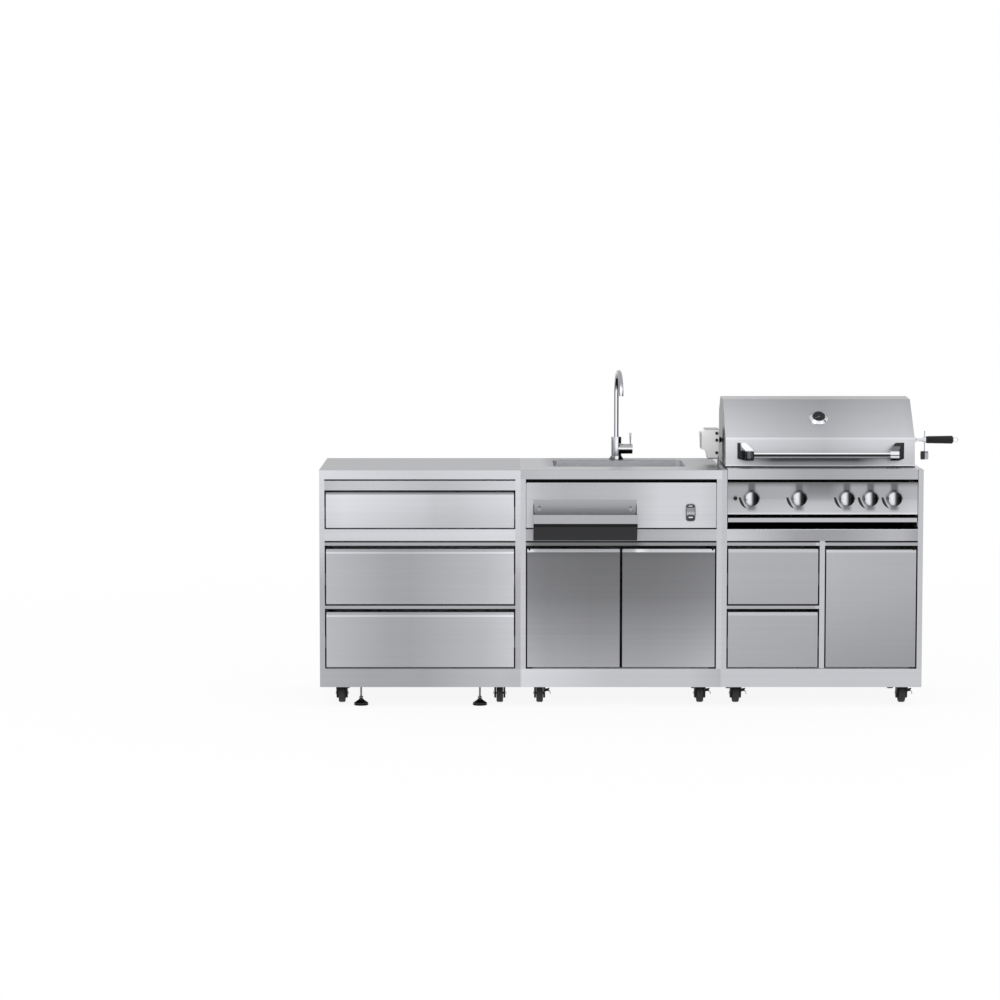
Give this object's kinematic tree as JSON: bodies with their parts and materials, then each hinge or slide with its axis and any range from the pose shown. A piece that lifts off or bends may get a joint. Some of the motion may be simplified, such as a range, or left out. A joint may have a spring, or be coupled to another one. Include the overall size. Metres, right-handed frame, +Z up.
{
  "type": "outdoor kitchen island",
  "caption": "Stainless outdoor kitchen island on casters: drawers, a sink with faucet, and a hooded gas grill with rotisserie, in one straight run.",
  "frame": {"origin": "on the floor, under the middle of the island's overall box", "axes": "+X along the run to the right as seen from its front, +Y from the front to the back, +Z up"},
  "size_m": [2.6177, 0.75, 1.342],
  "materials": {
    "stainless": "brushed along X",
    "worktop_steel": "brushed along X, a little smoother",
    "chrome": "polished",
    "knob_metal": "satin",
    "zinc": "zinc plated",
    "burner_steel": "plain",
    "black_plastic": "moulded",
    "caster_plastic": "moulded",
    "wheel_rubber": "matt",
    "motor_plastic": "moulded, off-white"
  },
  "bodies": {
    "island": {"base_frames": "stainless", "bottle_opener": "chrome", "bottle_tray": "stainless", "caster_plates": "caster_plastic", "control_panel": "stainless", "cooking_grates": "burner_steel", "door_hinges": "zinc", "drawer_cabinet": "stainless", "drawer_runners": "zinc", "drawer_worktop": "worktop_steel", "faucet_body": "chrome", "firebox": "stainless", "flame_tents": "burner_steel", "gas_burners": "burner_steel", "grill_cabinet": "stainless", "levelling_feet": "black_plastic", "rotisserie_motor": "motor_plastic", "sink_bowl": "stainless", "sink_cabinet": "stainless", "sink_drain": "chrome", "sink_fascia": "stainless", "sink_worktop": "worktop_steel", "warming_rack": "burner_steel"},
    "top_drawer": {"top_drawer": "stainless"},
    "middle_drawer": {"middle_drawer": "stainless"},
    "bottom_drawer": {"bottom_drawer": "stainless"},
    "upper_grill_drawer": {"upper_grill_drawer": "stainless"},
    "lower_grill_drawer": {"lower_grill_drawer": "stainless"},
    "sink_door_left": {"sink_door_left": "stainless"},
    "sink_door_right": {"sink_door_right": "stainless"},
    "grill_door": {"grill_door": "stainless"},
    "drip_tray": {"drip_tray": "stainless"},
    "hood": {"hood": "stainless", "hood_handle": "chrome", "thermometer": "chrome"},
    "knob_1": {"knob_1": "knob_metal"},
    "knob_2": {"knob_2": "knob_metal"},
    "knob_3": {"knob_3": "knob_metal"},
    "knob_4": {"knob_4": "knob_metal"},
    "knob_5": {"knob_5": "knob_metal"},
    "igniter_button": {"igniter_button": "black_plastic"},
    "faucet_spout": {"faucet_spout": "chrome"},
    "faucet_lever": {"faucet_lever": "chrome"},
    "spit": {"spit_rod": "chrome", "spit_grip": "black_plastic"},
    "front_fork_1": {"front_fork_1": "caster_plastic"},
    "front_wheel_1": {"front_wheel_1": "wheel_rubber"},
    "front_fork_2": {"front_fork_2": "caster_plastic"},
    "front_wheel_2": {"front_wheel_2": "wheel_rubber"},
    "front_fork_3": {"front_fork_3": "caster_plastic"},
    "front_wheel_3": {"front_wheel_3": "wheel_rubber"},
    "front_fork_4": {"front_fork_4": "caster_plastic"},
    "front_wheel_4": {"front_wheel_4": "wheel_rubber"},
    "front_fork_5": {"front_fork_5": "caster_plastic"},
    "front_wheel_5": {"front_wheel_5": "wheel_rubber"},
    "front_fork_6": {"front_fork_6": "caster_plastic"},
    "front_wheel_6": {"front_wheel_6": "wheel_rubber"},
    "rear_wheels_drawer": {"rear_wheels_drawer": "wheel_rubber"},
    "rear_wheels_sink": {"rear_wheels_sink": "wheel_rubber"},
    "rear_wheels_grill": {"rear_wheels_grill": "wheel_rubber"}
  },
  "joints": [
    {"name": "top_drawer_slide", "type": "slide", "parent": "island", "child": "top_drawer", "axis": [0, -1, 0], "range_m": [0, 0.45]},
    {"name": "middle_drawer_slide", "type": "slide", "parent": "island", "child": "middle_drawer", "axis": [0, -1, 0], "range_m": [0, 0.45]},
    {"name": "bottom_drawer_slide", "type": "slide", "parent": "island", "child": "bottom_drawer", "axis": [0, -1, 0], "range_m": [0, 0.45]},
    {"name": "upper_grill_drawer_slide", "type": "slide", "parent": "island", "child": "upper_grill_drawer", "axis": [0, -1, 0], "range_m": [0, 0.45]},
    {"name": "lower_grill_drawer_slide", "type": "slide", "parent": "island", "child": "lower_grill_drawer", "axis": [0, -1, 0], "range_m": [0, 0.45]},
    {"name": "sink_door_left_hinge", "type": "hinge", "parent": "island", "child": "sink_door_left", "pos_m": [-0.45985, -0.266, 0.4], "axis": [0, 0, -1], "range_deg": [0, 90]},
    {"name": "sink_door_right_hinge", "type": "hinge", "parent": "island", "child": "sink_door_right", "pos_m": [0.28115, -0.266, 0.4], "axis": [0, 0, 1], "range_deg": [0, 90]},
    {"name": "grill_door_hinge", "type": "hinge", "parent": "island", "child": "grill_door", "pos_m": [1.09415, -0.266, 0.4], "axis": [0, 0, 1], "range_deg": [0, 90]},
    {"name": "drip_tray_slide", "type": "slide", "parent": "island", "child": "drip_tray", "axis": [0, -1, 0], "range_m": [0, 0.4]},
    {"name": "hood_hinge", "type": "hinge", "parent": "island", "child": "hood", "pos_m": [0.7214, 0.215, 0.99], "axis": [-1, 0, 0], "range_deg": [0, 90]},
    {"name": "knob_1_turn", "type": "hinge", "parent": "island", "child": "knob_1", "pos_m": [0.43715, -0.275, 0.847], "axis": [0, -1, 0], "range_deg": [0, 180]},
    {"name": "knob_2_turn", "type": "hinge", "parent": "island", "child": "knob_2", "pos_m": [0.62918, -0.275, 0.847], "axis": [0, -1, 0], "range_deg": [0, 180]},
    {"name": "knob_3_turn", "type": "hinge", "parent": "island", "child": "knob_3", "pos_m": [0.82121, -0.275, 0.847], "axis": [0, -1, 0], "range_deg": [0, 180]},
    {"name": "knob_4_turn", "type": "hinge", "parent": "island", "child": "knob_4", "pos_m": [0.91714, -0.275, 0.847], "axis": [0, -1, 0], "range_deg": [0, 180]},
    {"name": "knob_5_turn", "type": "hinge", "parent": "island", "child": "knob_5", "pos_m": [1.01308, -0.275, 0.847], "axis": [0, -1, 0], "range_deg": [0, 180]},
    {"name": "igniter_push", "type": "slide", "parent": "island", "child": "igniter_button", "axis": [0, 1, 0], "range_m": [0, 0.004], "stiffness_N_per_m": 400, "springref_m": -0.004},
    {"name": "spout_swivel", "type": "hinge", "parent": "island", "child": "faucet_spout", "pos_m": [-0.08935, 0.325, 1.1], "axis": [0, 0, 1], "range_deg": [-90, 90]},
    {"name": "lever_turn", "type": "hinge", "parent": "island", "child": "faucet_lever", "pos_m": [-0.04135, 0.325, 1.005], "axis": [1, 0, 0], "range_deg": [0, 60]},
    {"name": "spit_turn", "type": "hinge", "parent": "island", "child": "spit", "pos_m": [0.7214, 0.025, 1.064], "axis": [1, 0, 0], "continuous": true},
    {"name": "front_caster_1_swivel", "type": "hinge", "parent": "island", "child": "front_fork_1", "pos_m": [-1.22485, -0.175, 0.095], "axis": [0, 0, 1], "continuous": true},
    {"name": "front_wheel_1_roll", "type": "hinge", "parent": "front_fork_1", "child": "front_wheel_1", "pos_m": [-1.22485, -0.15, 0.0375], "axis": [1, 0, 0], "continuous": true},
    {"name": "front_caster_2_swivel", "type": "hinge", "parent": "island", "child": "front_fork_2", "pos_m": [-0.57985, -0.175, 0.095], "axis": [0, 0, 1], "continuous": true},
    {"name": "front_wheel_2_roll", "type": "hinge", "parent": "front_fork_2", "child": "front_wheel_2", "pos_m": [-0.57985, -0.15, 0.0375], "axis": [1, 0, 0], "continuous": true},
    {"name": "front_caster_3_swivel", "type": "hinge", "parent": "island", "child": "front_fork_3", "pos_m": [-0.41685, -0.175, 0.095], "axis": [0, 0, 1], "continuous": true},
    {"name": "front_wheel_3_roll", "type": "hinge", "parent": "front_fork_3", "child": "front_wheel_3", "pos_m": [-0.41685, -0.15, 0.0375], "axis": [1, 0, 0], "continuous": true},
    {"name": "front_caster_4_swivel", "type": "hinge", "parent": "island", "child": "front_fork_4", "pos_m": [0.23815, -0.175, 0.095], "axis": [0, 0, 1], "continuous": true},
    {"name": "front_wheel_4_roll", "type": "hinge", "parent": "front_fork_4", "child": "front_wheel_4", "pos_m": [0.23815, -0.15, 0.0375], "axis": [1, 0, 0], "continuous": true},
    {"name": "front_caster_5_swivel", "type": "hinge", "parent": "island", "child": "front_fork_5", "pos_m": [0.38415, -0.175, 0.095], "axis": [0, 0, 1], "continuous": true},
    {"name": "front_wheel_5_roll", "type": "hinge", "parent": "front_fork_5", "child": "front_wheel_5", "pos_m": [0.38415, -0.15, 0.0375], "axis": [1, 0, 0], "continuous": true},
    {"name": "front_caster_6_swivel", "type": "hinge", "parent": "island", "child": "front_fork_6", "pos_m": [1.06315, -0.175, 0.095], "axis": [0, 0, 1], "continuous": true},
    {"name": "front_wheel_6_roll", "type": "hinge", "parent": "front_fork_6", "child": "front_wheel_6", "pos_m": [1.06315, -0.15, 0.0375], "axis": [1, 0, 0], "continuous": true},
    {"name": "rear_wheels_drawer_roll", "type": "hinge", "parent": "island", "child": "rear_wheels_drawer", "pos_m": [-0.90235, 0.24, 0.0375], "axis": [1, 0, 0], "continuous": true},
    {"name": "rear_wheels_sink_roll", "type": "hinge", "parent": "island", "child": "rear_wheels_sink", "pos_m": [-0.08935, 0.24, 0.0375], "axis": [1, 0, 0], "continuous": true},
    {"name": "rear_wheels_grill_roll", "type": "hinge", "parent": "island", "child": "rear_wheels_grill", "pos_m": [0.72365, 0.24, 0.0375], "axis": [1, 0, 0], "continuous": true}
  ]
}
